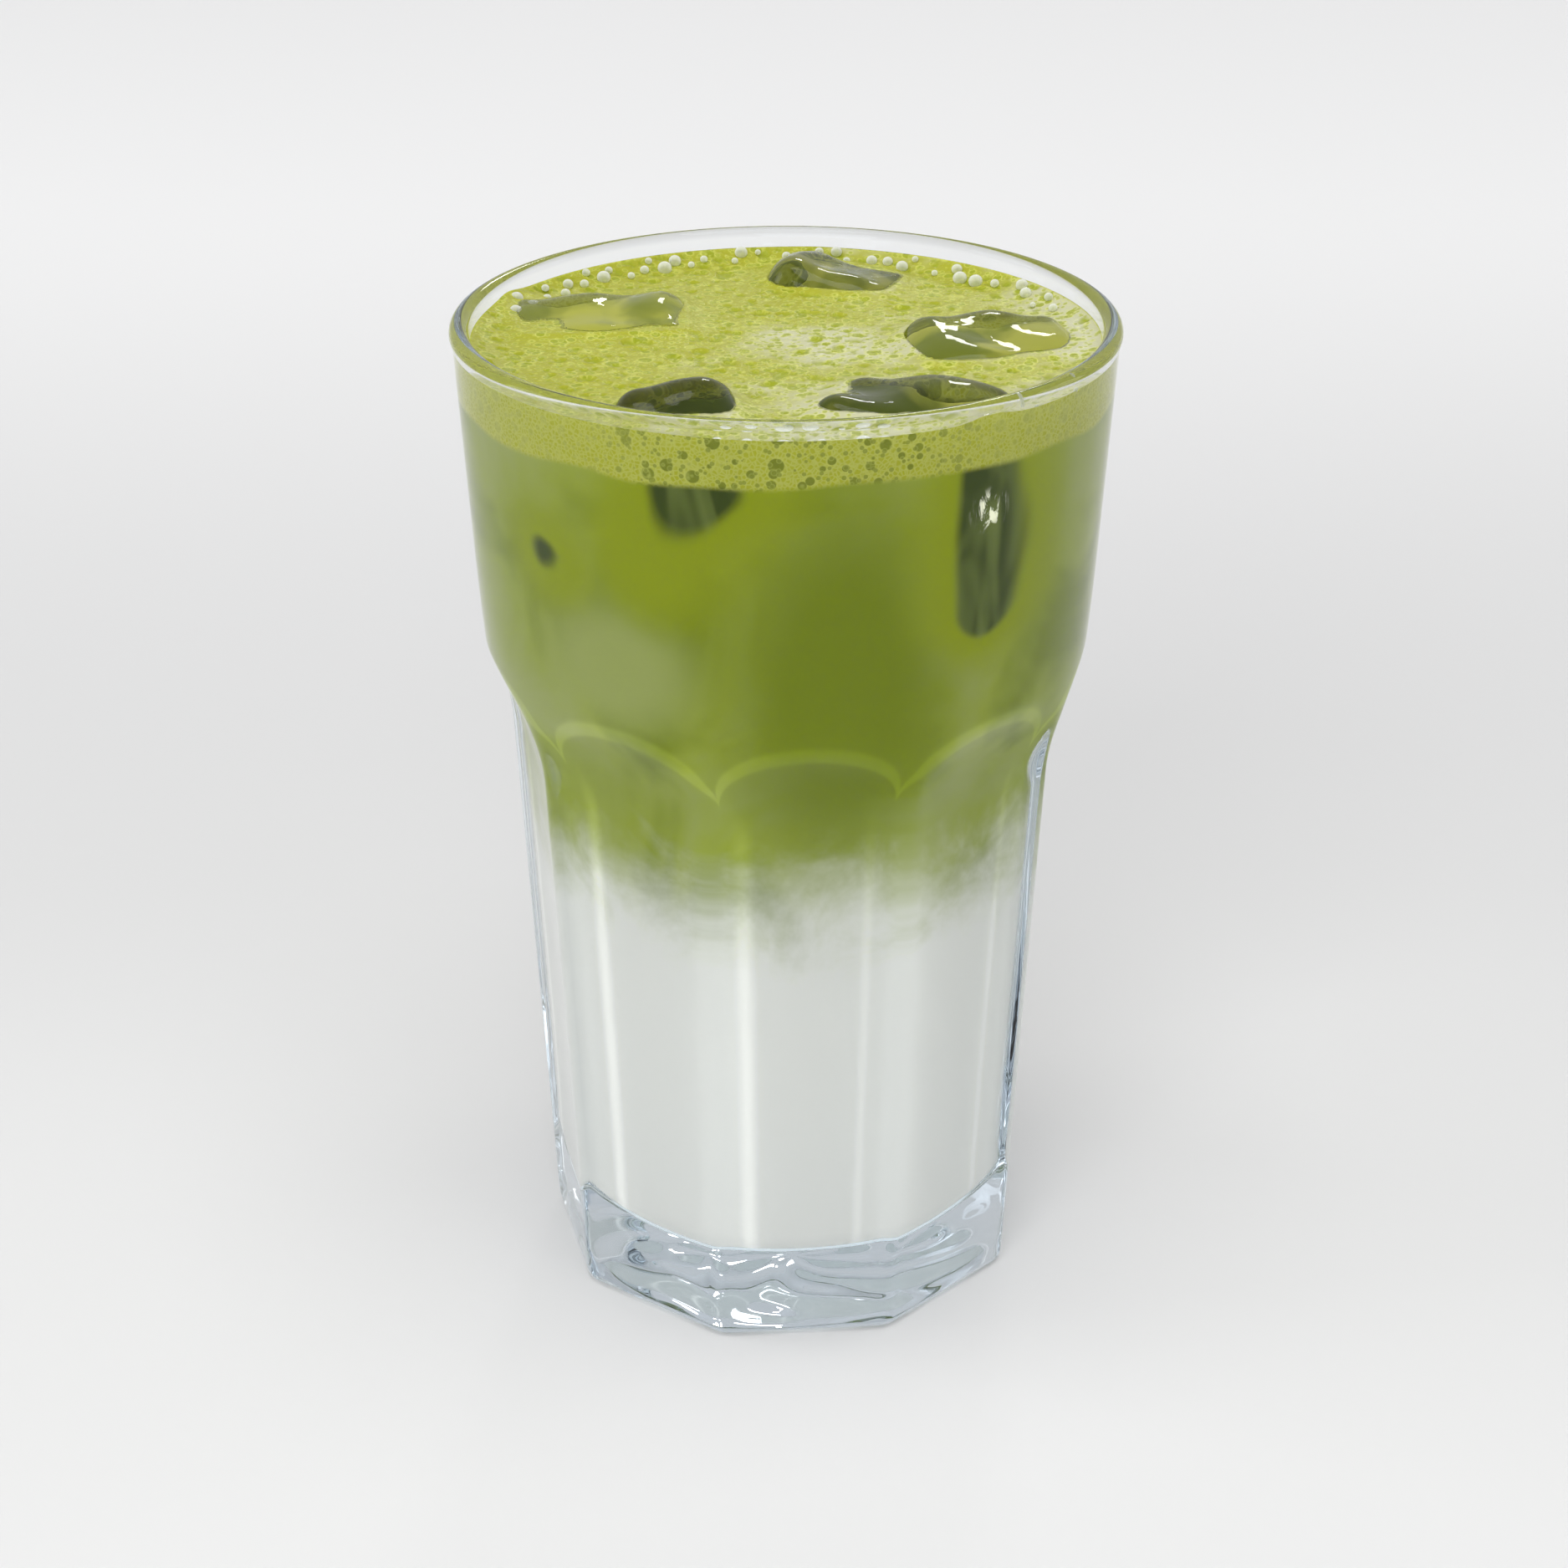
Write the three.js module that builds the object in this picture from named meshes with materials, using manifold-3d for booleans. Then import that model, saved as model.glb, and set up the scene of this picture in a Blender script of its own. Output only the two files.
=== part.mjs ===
// Iced matcha latte in a tall pressed-glass tumbler, in millimetres, +Z up.
// The origin is the centre of the glass's base. The photograph was taken from the -Y side.
// The glass is a round tumbler with a shoulder, and nine flat panels are cut into its lower body:
// each leans outwards a little and curves out through the shoulder, which leaves an arch at its top.
// The drink stands in layers: milk, matcha, and a thin foam with five ice blocks poking through it.
import * as THREE from "three";
import Module from "manifold-3d";
import { mergeVertices } from "three/addons/utils/BufferGeometryUtils.js";

// Outside of the glass: base, both ends of the shoulder, and the round rim.
const GLASS_HEIGHT = 140;
const BASE_RADIUS = 35.5;
const BASE_EDGE = 1.6;
const SHOULDER_LOW = { r: 38.95, z: 75.5 };
const SHOULDER_TOP = { r: 41.55, z: 95.1 };
const SHOULDER_ROUNDING = 3;
const RIM_RADIUS = 43.1;
const RIM_BEAD = 1.3;
const RIM_Z = GLASS_HEIGHT - RIM_BEAD;
const BEAD_PROUD = 0.3;

// The panels: how far their middles stand from the axis, and the curve that takes them out.
const PANELS = 9;
const FIRST_PANEL_DEG = 4.7;
const PANEL_FOOT = 32.76;
const PANEL_LEAN = 0.0483;
const PANEL_CURVE_Z = 80.5;
const PANEL_CURVE_RADIUS = 29.3;
const PANEL_TOP_Z = 99;

// Inside of the glass: a thick floor, a thick lower wall, and a thin wall above the shoulder.
const FLOOR_Z = 11;
const FLOOR_RADIUS = 27.6;
const FLOOR_ROUNDING = 4;
const LOWER_WALL_LEAN = 0.055;
const UPPER_WALL_LEAN = 0.068;
const INNER_SHOULDER = { low: 77, top: 98 };
const INNER_RIM_RADIUS = RIM_RADIUS - RIM_BEAD;

// Levels of the drink, and the gap kept between touching pieces.
const MILK_TOP = 70;
const MATCHA_TOP = 131.2;
const FOAM_TOP = 135.7;
const FOAM_CREEP = 1.6;
const FOAM_CREEP_WIDTH = 6;
const GAP = 0.3;

// Ice blocks: the middle of each, its size, and how far it is turned about X, Y and Z.
// The two at the front lie against the wall. The right-hand one reaches deepest.
const ICE_BLOCKS = [
  { name: "ice_left", at: [-25.5, 12, 126.2], size: [26.5, 19.5, 22], turn: [5, -1.5, 8] },
  { name: "ice_back", at: [6.5, 29.5, 126.5], size: [21, 15, 22.5], turn: [-7, 10, -26] },
  { name: "ice_right", at: [27, 1, 126], size: [24.5, 19, 23.5], turn: [8, 2, 11.5] },
  { name: "ice_front_left", at: [-12.5, -27.5, 126], size: [16.5, 21, 22], turn: [27, -3, 26] },
  { name: "ice_front_right", at: [16.5, -24.5, 122.5], size: [25.5, 16.5, 29.5], turn: [3.5, 1.5, -21] },
];
const ICE_ROUNDING = 4.5;
const ICE_STEPS = 5;
const ICE_MELT = 0.08;

const ROUND_STEPS = 54;
const CURVE_STEPS = 8;
const EDGE_STEPS = 3;

const wasm = await Module();
wasm.setup();

const radians = THREE.MathUtils.degToRad;

// A closed three.js geometry as a solid that can be joined and cut.
function solid(geometry) {
  const bare = geometry.clone();
  bare.deleteAttribute("normal");
  bare.deleteAttribute("uv");
  const merged = mergeVertices(bare, 1e-4);
  return new wasm.Manifold(new wasm.Mesh({
    numProp: 3,
    vertProperties: new Float32Array(merged.attributes.position.array),
    triVerts: new Uint32Array(merged.index.array),
  }));
}

// A solid back as a three.js geometry.
function geometryOf(shape) {
  const mesh = shape.getMesh();
  const geometry = new THREE.BufferGeometry();
  geometry.setAttribute("position", new THREE.BufferAttribute(new Float32Array(mesh.vertProperties), 3));
  geometry.setIndex(new THREE.BufferAttribute(new Uint32Array(mesh.triVerts), 1));
  geometry.computeVertexNormals();
  return geometry;
}

// A profile of [radius, height] pairs, from the axis round to the axis, turned about Z.
function turned(profile) {
  const points = profile.map(([r, z]) => new THREE.Vector2(r, z));
  return solid(new THREE.LatheGeometry(points, ROUND_STEPS).rotateX(Math.PI / 2));
}

function steps(low, high, count) {
  return Array.from({ length: count + 1 }, (_, i) => low + ((high - low) * i) / count);
}

// Radius inside the glass at a height, less a clearance to the wall and the floor:
// two cones joined by a smooth shoulder, over a round corner.
function innerRadius(z, clearance = 0) {
  const lower = FLOOR_RADIUS + LOWER_WALL_LEAN * (z - FLOOR_Z);
  const upper = INNER_RIM_RADIUS - UPPER_WALL_LEAN * (RIM_Z - z);
  const radius = THREE.MathUtils.lerp(
    lower, upper, THREE.MathUtils.smoothstep(z, INNER_SHOULDER.low, INNER_SHOULDER.top),
  );
  const below = Math.max(0, FLOOR_Z + clearance + FLOOR_ROUNDING - z);
  return radius - clearance - FLOOR_ROUNDING + Math.sqrt(FLOOR_ROUNDING ** 2 - below ** 2);
}

// The inner wall's rings of [radius, height] between two levels.
function innerWall(low, high, clearance = 0) {
  const corner = steps(0, Math.PI / 2, EDGE_STEPS)
    .map((a) => FLOOR_Z + clearance + FLOOR_ROUNDING * (1 - Math.cos(a)));
  const rings = [...corner, ...steps(INNER_SHOULDER.low, INNER_SHOULDER.top, CURVE_STEPS)];
  const heights = [low, ...rings.filter((z) => z > low && z < high), high];
  return heights.map((z) => [innerRadius(z, clearance), z]);
}

function arc(r, z, radius, fromDeg, toDeg, count) {
  return steps(radians(fromDeg), radians(toDeg), count)
    .map((a) => [r + radius * Math.cos(a), z + radius * Math.sin(a)]);
}

// The round tumbler before its panels are cut.
function roundTumbler() {
  const corner = SHOULDER_ROUNDING;
  const cone = (SHOULDER_TOP.r - SHOULDER_LOW.r) / (SHOULDER_TOP.z - SHOULDER_LOW.z);
  const wall = (RIM_RADIUS + RIM_BEAD - BEAD_PROUD - SHOULDER_TOP.r) / (RIM_Z - SHOULDER_TOP.z);
  const shoulder = new THREE.QuadraticBezierCurve(
    new THREE.Vector2(SHOULDER_TOP.r - corner * cone, SHOULDER_TOP.z - corner),
    new THREE.Vector2(SHOULDER_TOP.r, SHOULDER_TOP.z),
    new THREE.Vector2(SHOULDER_TOP.r + corner * wall, SHOULDER_TOP.z + corner),
  ).getPoints(EDGE_STEPS).map((p) => [p.x, p.y]);
  const inside = innerWall(FLOOR_Z, RIM_Z - RIM_BEAD).reverse();
  return turned([
    [0, 0],
    [BASE_RADIUS, 0],
    [SHOULDER_LOW.r, SHOULDER_LOW.z],
    ...shoulder,
    ...arc(RIM_RADIUS, RIM_Z, RIM_BEAD, 0, 180, CURVE_STEPS),
    ...inside,
    [0, FLOOR_Z],
  ]);
}

// What one panel takes away: everything outside its leaning face, its curve and its rounded foot.
function panelCutter(index) {
  const face = (z) => PANEL_FOOT + PANEL_LEAN * z;
  const curveOut = (z) => {
    const rise = z - PANEL_CURVE_Z;
    return face(z) + PANEL_CURVE_RADIUS - Math.sqrt(PANEL_CURVE_RADIUS ** 2 - rise ** 2);
  };
  const outside = RIM_RADIUS * 1.5;
  const outline = [
    [face(0) - BASE_EDGE, -BASE_EDGE],
    ...arc(face(0) - BASE_EDGE, BASE_EDGE, BASE_EDGE, -90, 0, EDGE_STEPS),
    ...steps(PANEL_CURVE_Z, PANEL_TOP_Z, CURVE_STEPS).map((z) => [curveOut(z), z]),
    [outside, PANEL_TOP_Z],
    [outside, -BASE_EDGE],
  ];
  const width = SHOULDER_TOP.r;
  const shape = new THREE.Shape(outline.map(([r, z]) => new THREE.Vector2(r, z)));
  const block = new THREE.ExtrudeGeometry(shape, { depth: width, bevelEnabled: false });
  block.translate(0, 0, -width / 2).rotateX(Math.PI / 2);
  const azimuth = FIRST_PANEL_DEG + (360 / PANELS) * index - 90;
  return solid(block.rotateZ(radians(azimuth)));
}

function tumbler() {
  let shape = roundTumbler();
  for (let i = 0; i < PANELS; i++) shape = shape.subtract(panelCutter(i));
  return shape;
}

// One level of the drink, inside the glass, between two heights.
function layer(low, high) {
  return turned([[0, low], ...innerWall(low, high, GAP), [0, high]]);
}

// The foam creeps up the glass at its edge.
function foam() {
  const low = MATCHA_TOP + GAP;
  const edge = innerRadius(FOAM_TOP, GAP);
  const creep = steps(0, 1, EDGE_STEPS).reverse()
    .map((t) => [edge - FOAM_CREEP_WIDTH * (1 - t), FOAM_TOP + FOAM_CREEP * t * t]);
  return turned([[0, low], [innerRadius(low, GAP), low], ...creep, [0, FOAM_TOP]]);
}

// A half-melted block: a box with round edges, whose faces swell and sag a little.
function iceBlock({ at, size, turn }, grow) {
  const [w, d, h] = size.map((s) => s + 2 * grow);
  const block = new THREE.BoxGeometry(w, d, h, ICE_STEPS, ICE_STEPS, ICE_STEPS);
  const core = new THREE.Box3(
    new THREE.Vector3(-w, -d, -h).multiplyScalar(0.5).addScalar(ICE_ROUNDING),
    new THREE.Vector3(w, d, h).multiplyScalar(0.5).subScalar(ICE_ROUNDING),
  );
  const place = block.attributes.position;
  const point = new THREE.Vector3();
  const inner = new THREE.Vector3();
  for (let i = 0; i < place.count; i++) {
    point.fromBufferAttribute(place, i);
    core.clampPoint(point, inner);
    point.sub(inner).setLength(ICE_ROUNDING).add(inner);
    const wave = Math.sin(point.x / 4 + at[0]) * Math.sin(point.y / 4 + at[1]) * Math.cos(point.z / 6);
    point.multiplyScalar(1 + ICE_MELT * wave);
    place.setXYZ(i, point.x, point.y, point.z);
  }
  const [x, y, z] = turn.map(radians);
  block.applyMatrix4(new THREE.Matrix4().makeRotationFromEuler(new THREE.Euler(x, y, z, "ZYX")));
  return solid(block.translate(...at));
}

// A block as it lies in the glass: where it meets the wall it has melted to fit.
function iceInGlass(block) {
  const room = turned([[0, MILK_TOP], ...innerWall(MILK_TOP, RIM_Z, 2 * GAP), [0, RIM_Z]]);
  return iceBlock(block, 0).intersect(room);
}

// The drink stands clear of each block all round.
function cutRoundIce(shape) {
  return ICE_BLOCKS.reduce((left, block) => left.subtract(iceBlock(block, GAP)), shape);
}

const materials = {
  glass: { color: 0xe6ecea, roughness: 0.03, transparent: true, opacity: 0.35 },
  milk: { color: 0xd9dbd4, roughness: 0.35 },
  matcha: { color: 0x7a8a32, roughness: 0.4 },
  foam: { color: 0xc3c764, roughness: 0.55 },
  ice: { color: 0xb9c48a, roughness: 0.08, transparent: true, opacity: 0.6 },
};

function piece(name, shape, finish) {
  const mesh = new THREE.Mesh(
    geometryOf(shape),
    new THREE.MeshStandardMaterial({ metalness: 0, ...materials[finish] }),
  );
  mesh.name = name;
  return mesh;
}

const drink = new THREE.Group();
drink.name = "iced_matcha_latte";
drink.add(
  piece("glass", tumbler(), "glass"),
  piece("milk_layer", layer(FLOOR_Z + GAP, MILK_TOP), "milk"),
  piece("matcha_layer", cutRoundIce(layer(MILK_TOP + GAP, MATCHA_TOP)), "matcha"),
  piece("foam_layer", cutRoundIce(foam()), "foam"),
  ...ICE_BLOCKS.map((block) => piece(block.name, iceInGlass(block), "ice")),
);

export default drink;
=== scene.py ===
"""Iced matcha latte in its tall panelled tumbler: the glass, the drink's layers, the ice and a studio."""

import math

import bmesh
import bpy
import numpy as np
from bpy.props import FloatProperty, FloatVectorProperty, IntProperty, PointerProperty
from mathutils import Euler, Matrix, Vector, kdtree, noise


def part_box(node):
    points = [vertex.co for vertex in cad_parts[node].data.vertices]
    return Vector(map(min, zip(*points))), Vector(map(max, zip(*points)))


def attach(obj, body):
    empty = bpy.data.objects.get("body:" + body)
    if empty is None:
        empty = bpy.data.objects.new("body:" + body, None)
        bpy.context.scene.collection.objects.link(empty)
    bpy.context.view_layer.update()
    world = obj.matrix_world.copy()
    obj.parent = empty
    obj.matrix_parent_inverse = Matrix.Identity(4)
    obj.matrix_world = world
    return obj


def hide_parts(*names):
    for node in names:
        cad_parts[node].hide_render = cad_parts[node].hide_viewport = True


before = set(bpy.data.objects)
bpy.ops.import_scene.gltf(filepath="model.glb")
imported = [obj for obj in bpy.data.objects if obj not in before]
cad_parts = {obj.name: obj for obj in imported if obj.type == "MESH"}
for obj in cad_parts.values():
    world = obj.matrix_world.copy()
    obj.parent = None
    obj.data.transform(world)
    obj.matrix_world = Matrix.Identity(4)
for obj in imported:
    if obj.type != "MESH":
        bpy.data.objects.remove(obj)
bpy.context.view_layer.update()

bl_info = {
    "name": "Iced matcha latte",
    "version": (1, 0, 0),
    "blender": (4, 5, 0),
    "location": "View3D > Sidebar > Matcha",
    "description": "Dresses the CAD model of an iced matcha latte in its glass",
    "category": "Object",
}

MM = 0.001
GLASS_LOW, GLASS_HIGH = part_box("glass")
MILK_LOW, MILK_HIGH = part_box("milk_layer")
MATCHA_LOW, MATCHA_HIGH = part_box("matcha_layer")
FOAM_LOW, FOAM_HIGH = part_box("foam_layer")
BODY = "root"

# The camera that fits the photograph, in metres and degrees, for a frame of PHOTO pixels.
PHOTO = 1875
FOCAL_PIXELS = 3633.0
SENSOR = 36.0
CAMERA_BACK = 0.3882
CAMERA_HIGH = 0.2581
CAMERA_DOWN = 25.72
AXIS_PIXEL = 940.0

# The ice as the CAD has it: the middle, size (both in mm) and turn (in degrees) of each block.
ICE_BLOCKS = {
    "ice_left": ((-25.5, 12, 126.2), (26.5, 19.5, 22), (5, -1.5, 8)),
    "ice_back": ((6.5, 29.5, 126.5), (21, 15, 22.5), (-7, 10, -26)),
    "ice_right": ((27, 1, 126), (24.5, 19, 23.5), (8, 2, 11.5)),
    "ice_front_left": ((-12.5, -27.5, 126), (16.5, 21, 22), (27, -3, 26)),
    "ice_front_right": ((16.5, -24.5, 122.5), (25.5, 16.5, 29.5), (3.5, 1.5, -21)),
}
ICE_ROUNDING = 4.5
ICE_MELT = 0.08

# Finer hollows in its faces than the CAD has, in mm. Steps along an edge of a block, and of its cutter.
DENT_SPACING = 7.0
DENT_DEPTH = 0.9
ICE_STEPS = 26
CUTTER_STEPS = 22

# A chip of ice that lies wholly sunk against the wall.
SUNKEN_CHIP = ((-27.8, -25.5, 117.5), (8, 8, 7), (10, 20, 30))

# How brightly the drink round each block lights up: the share of its colour that it glows with.
ICE_GLOW = {
    "ice_left": 0.6,
    "ice_back": 0.3,
    "ice_right": 0.5,
    "ice_front_left": 0.2,
    "ice_front_right": 0.3,
    "sunken_chip": 0.05,
}

# Places on the front of the drink and how far they reach along X, Y and Z, in mm: where milk has risen, where
# light from the ice brightens it, and where its green is deepest.
PALE_SPOT = ((-21, -33, 104), (15, 20, 13))
LIT_SPOT = ((-17, -37, 122), (10, 10, 10))
DEEP_SPOT = ((7, -39, 103), (20, 34, 40))

# A painted glint, a broken highlight on the ice behind the wall at the front right: its place and reach, in
# mm.
PAINTED_GLINT_SPOT = ((24.5, -32.6, 125.2), 3.4)

# Refraction shifts and widens what shows of a block through the wall: how far along X, Y and Z, and by how
# much all round, in mm.
SEEN_SHIFT = {"ice_front_left": ((2, 0, 2), 1.8)}

# Light gathered by the glass's round edges: its strength, and where it falls beside a ridge and under an
# arch. SCATTERED_LIGHT is the part of that strength that the whole drink has, from light thrown about in it.
GATHERED_LIGHT = 0.26
SCATTERED_LIGHT = 0.26
STREAK_OFFSET = math.radians(4.2)
STREAK_WIDTH = math.radians(3.8)
ARCH_TOP = 94.2
ARCH_FOOT = 85.5

# The strength of the painted light, an emission on the paper under the base, that stands for the light the
# base gathers there.
LIGHT_UNDER_BASE = 0.45

# How far the ice reaches into the drink round it, so that no air shows.
OVERLAP = 0.12 * MM

SHARP_DEGREES = 60

# Points round the glass and round the drink. Rings of the glass lie closest at its shoulder.
AROUND_GLASS = 360
AROUND_DRINK = 300
SHOULDER_RINGS = (76 * MM, 100 * MM)

# The hollow of a panel comes in between two heights, and goes out between two others.
FLUTE_STARTS = (4 * MM, 40 * MM)
FLUTE_ENDS = (84 * MM, 95 * MM)

# The foam's top is a grid with so many squares each way. Its side has so many rings.
FOAM_GRID = 250
FOAM_RINGS = 22

# Open bubbles in the foam: the middle, spread, smallest and largest of their radii in mm, then the rim that
# each pushes up: how far it reaches and how high it stands, as shares of the radius.
FOAM_SEED = 11
OPEN_RADII = (0.48, 0.45, 0.26, 1.25)
OPEN_RIM = (1.6, 0.12)

# The grain of the froth, its spacing and height, and how high and how far it clings to the ice.
FROTH_GRAIN = (0.8, 0.06 * MM)
FROTH_CLING = (0.7 * MM, 1.2 * MM)

# The glass stands this far above the paper, as a sheet of air shows under it.
FLOOR_GAP = 0.05 * MM

# How strongly the glass mirrors what it faces, as a tint. Little shows in its front in the photograph.
GLASS_SHINE = "#98A0A8"

# Bubbles that stand on the foam, and drops on the wall. The band that they lie in has two edges, each given
# by its distance from the wall and its height above the foam, and an arc in degrees. Then come the smallest
# and largest radius, the spacing and, as a share of the radius, the height of a bubble. Lengths are in mm.
BUBBLE_BANDS = {
    "bubbles_at_back": {
        "edges": ((4.0, 0.5), (1.0, 1.4)), "arc": (108, 252), "radii": (0.4, 1.05), "spacing": 2.3,
        "dome": 0.9, "seed": 3},
    "bubbles_at_front": {
        "edges": ((4.5, 0.1), (1.6, 0.6)), "arc": (-14, 22), "radii": (0.4, 1.2), "spacing": 2.2,
        "dome": 0.4, "seed": 5},
    "drops_on_wall": {
        "edges": ((0.1, 1.6), (0.0, 2.6)), "arc": (38, 62), "radii": (0.25, 0.5), "spacing": 2.6,
        "dome": 0.8, "seed": 8},
}
BUBBLE_DENSITY = 4e5

# Kinds of node that the materials use most, then the output and the settings that some have unless a call
# gives others.
MATH = "ShaderNodeMath"
VECTOR = "ShaderNodeVectorMath"
RANGE = "ShaderNodeMapRange"
MIX = "ShaderNodeMix"
NOISE = "ShaderNodeTexNoise"
VORONOI = "ShaderNodeTexVoronoi"
PRINCIPLED = "ShaderNodeBsdfPrincipled"
PLACE = "ShaderNodeTexCoord"
STORED = "ShaderNodeAttribute"
OUTPUT = "ShaderNodeOutputMaterial"
USUAL = {
    MIX: (2, {"data_type": "RGBA"}),
    RANGE: (0, {"interpolation_type": "SMOOTHSTEP"}),
    PLACE: ("Object", {}),
    STORED: ("Fac", {}),
}

# The studio, in metres and watts: half the floor's width, each lamp's place, width and power, what the lamps
# aim at, and the tones of the white room in front and behind.
FLOOR_HALF = 4.0
LAMPS = {
    "left_window": ((-2.2, 0.1, 1.2), 1.2, 10.0),
    "right_reflector": ((2.2, 0.6, 1.0), 1.0, 4.5),
    "overhead_softbox": ((0.1, -0.4, 2.4), 1.6, 22.0),
    "back_glint": ((0.3, 2.4, 1.5), 0.35, 3.5),
    "front_fill": ((-0.5, -2.3, 1.1), 2.0, 32.0),
}
LAMP_AIM = (0, 0, 0.08)
ROOM_IN_FRONT = (0.7, 0.7, 0.72, 1.0)
ROOM_BEHIND = (0.95, 0.95, 0.95, 1.0)
ROOM_STRENGTH = 0.6

# Light is thrown to and fro many times in thick glass before it comes out.
LIGHT_BOUNCES = {"max_bounces": 18, "diffuse_bounces": 3, "glossy_bounces": 8, "transmission_bounces": 16}


def colour(hex_code):
    """An sRGB hex colour as linear red, green and blue, with a full alpha."""
    parts = [int(hex_code[i:i + 2], 16) / 255 for i in (1, 3, 5)]
    linear = [c / 12.92 if c <= 0.04045 else ((c + 0.055) / 1.055) ** 2.4 for c in parts]
    return (*linear, 1.0)


def length(name, description, millimetres):
    return FloatProperty(
        name=name, description=description, default=millimetres * MM, unit="LENGTH", precision=5)


def ratio(name, description, value):
    return FloatProperty(name=name, description=description, default=value)


def tint(name, description, hex_code):
    return FloatVectorProperty(
        name=name, description=description, default=colour(hex_code), subtype="COLOR", size=4, min=0, max=1)


class GlassSizes(bpy.types.PropertyGroup):
    """Sizes of the tumbler."""
    height: length("Height", "Base to rim", GLASS_HIGH[2] / MM)
    base_radius: length("Base radius", "Round body at the base", 35.5)
    base_edge: length("Base edge", "Rounding of the edge on the table", 1.6)
    shoulder_low_r: length("Shoulder low radius", "Round body at the foot of the shoulder", 38.95)
    shoulder_low_z: length("Shoulder low height", "Foot of the shoulder", 75.5)
    shoulder_top_r: length("Shoulder top radius", "Round body at the top of the shoulder", 41.55)
    shoulder_top_z: length("Shoulder top height", "Top of the shoulder", 95.1)
    rim_radius: length("Rim radius", "Middle of the rim's bead", 43.1)
    rim_bead: length("Rim bead", "Radius of the rim's rounded edge", 1.3)
    bead_proud: length("Bead stands proud", "How far the rim stands out from the wall", 0.3)
    shoulder_softness: length("Shoulder softness", "Rounding of the shoulder's top", 0.9)
    waist_softness: length("Waist softness", "Rounding of the shoulder's foot", 0.5)
    panels: IntProperty(name="Panels", description="Flat panels round the lower body", default=9, min=3)
    first_panel: FloatProperty(
        name="First panel", description="Azimuth of a panel's middle, from the front",
        default=math.radians(4.7), subtype="ANGLE")
    panel_foot: length("Panel foot", "A panel's middle from the axis at the base", 32.76)
    panel_lean: ratio("Panel lean", "Lean of a panel, outwards for each unit up", 0.0483)
    panel_curve_z: length("Panel curve height", "Where a panel starts to curve outwards", 80.5)
    panel_curve_radius: length("Panel curve radius", "Radius of that curve", 29.3)
    ridge_blend: length("Ridge softness", "How far a ridge is rounded back", 1.1)
    arch_blend: length("Arch softness", "How far an arch is rounded back", 0.8)
    flute: length("Flute", "How far a panel is hollowed in its middle", 0.5)
    punt: length("Punt", "Hollow under the base", 0.8)
    base_waves: length("Base waves", "Unevenness of the pressed base", 0.12)
    floor_z: length("Floor", "Height of the inner floor", 11.0)
    floor_radius: length("Floor radius", "Inner wall carried down to the floor", 27.6)
    floor_rounding: length("Floor rounding", "Inner corner between wall and floor", 4.0)
    lower_wall_lean: ratio("Lower wall lean", "Lean of the lower inner wall", 0.055)
    upper_wall_lean: ratio("Upper wall lean", "Lean of the upper inner wall", 0.068)
    inner_shoulder_low: length("Inner shoulder low", "Where the inner shoulder starts", 77.0)
    inner_shoulder_top: length("Inner shoulder top", "Where it ends", 98.0)


class DrinkSizes(bpy.types.PropertyGroup):
    """Sizes of the drink's layers, foam and bubbles."""
    film: length("Film", "Drink left between the ice and the wall", 0.25)
    into_wall: length("Into the wall", "How far the drink reaches into the glass", 0.12)
    blend_z: length("Blend height", "Middle of the cloudy band over the milk", 68.8)
    blend_depth: length("Blend depth", "Depth of that band", 22.0)
    foam_top: length("Foam top", "Level of the foam away from the wall", 135.7)
    foam_creep: length("Foam creep", "How far the foam climbs the wall", 1.6)
    foam_creep_width: length("Creep width", "Width of the climbing edge", 6.0)
    bubbles: IntProperty(name="Bubbles", description="Open bubbles in the foam's top", default=1200, min=0)
    bubble_depth: ratio("Bubble depth", "Depth of an open bubble, as a share of its radius", 0.28)


class DrinkColours(bpy.types.PropertyGroup):
    """Colours of the drink and the studio."""
    milk: tint("Milk", "Cold whole milk", "#FBFBF5")
    matcha: tint("Matcha", "Matcha stirred into milk", "#A2B03C")
    matcha_deep: tint("Deep matcha", "Matcha where little milk has reached", "#82920A")
    matcha_pale: tint("Pale matcha", "Clouds of milk in the matcha", "#AAB565")
    matcha_lit: tint("Lit matcha", "Matcha that light reaches through the ice", "#9CAA06")
    pocket_lit: tint("Lit pocket", "The drink behind ice, in the light", "#B4B452")
    pocket_deep: tint("Deep pocket", "The drink behind ice, in the dark", "#4C600E")
    # Painted shade and a painted reflection: the dark green and the grey-green sheen that the ice behind the
    # wall is painted with.
    ice_painted_shade: tint("Dark ice", "Ice against the wall", "#3E4C06")
    ice_painted_sheen: tint("Ice sheen", "Grey sheen of ice against the wall", "#76843C")
    foam: tint("Foam", "Fine pale foam", "#C6C69E")
    foam_wall: tint("Foam at the wall", "Wet foam against the glass", "#C2C634")
    foam_green: tint("Green foam", "Foam with more tea in it", "#A8AA2E")
    foam_film: tint("Bubble films", "Pale films between the bubbles", "#D6DA6C")
    wall_bubble: tint("Bubbles at the wall", "Large bubbles against the glass", "#808C1A")
    foam_pit: tint("Bubble floor", "Floor of an open bubble", "#949E16")
    floor: tint("Floor", "Plain pale paper", "#E4E4E4")


def sizes():
    return bpy.context.scene.matcha_glass, bpy.context.scene.matcha_drink, bpy.context.scene.matcha_colours


def smooth(low, high, x):
    t = np.clip((x - low) / (high - low), 0, 1)
    return t * t * (3 - 2 * t)


def soft_min(a, b, blend):
    """The smaller of two values, rounded off where they are within blend of each other."""
    h = np.maximum(blend - np.abs(a - b), 0) / blend
    return np.minimum(a, b) - h * h * blend / 4


def soft_max(a, b, blend):
    return -soft_min(-a, -b, blend)


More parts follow.
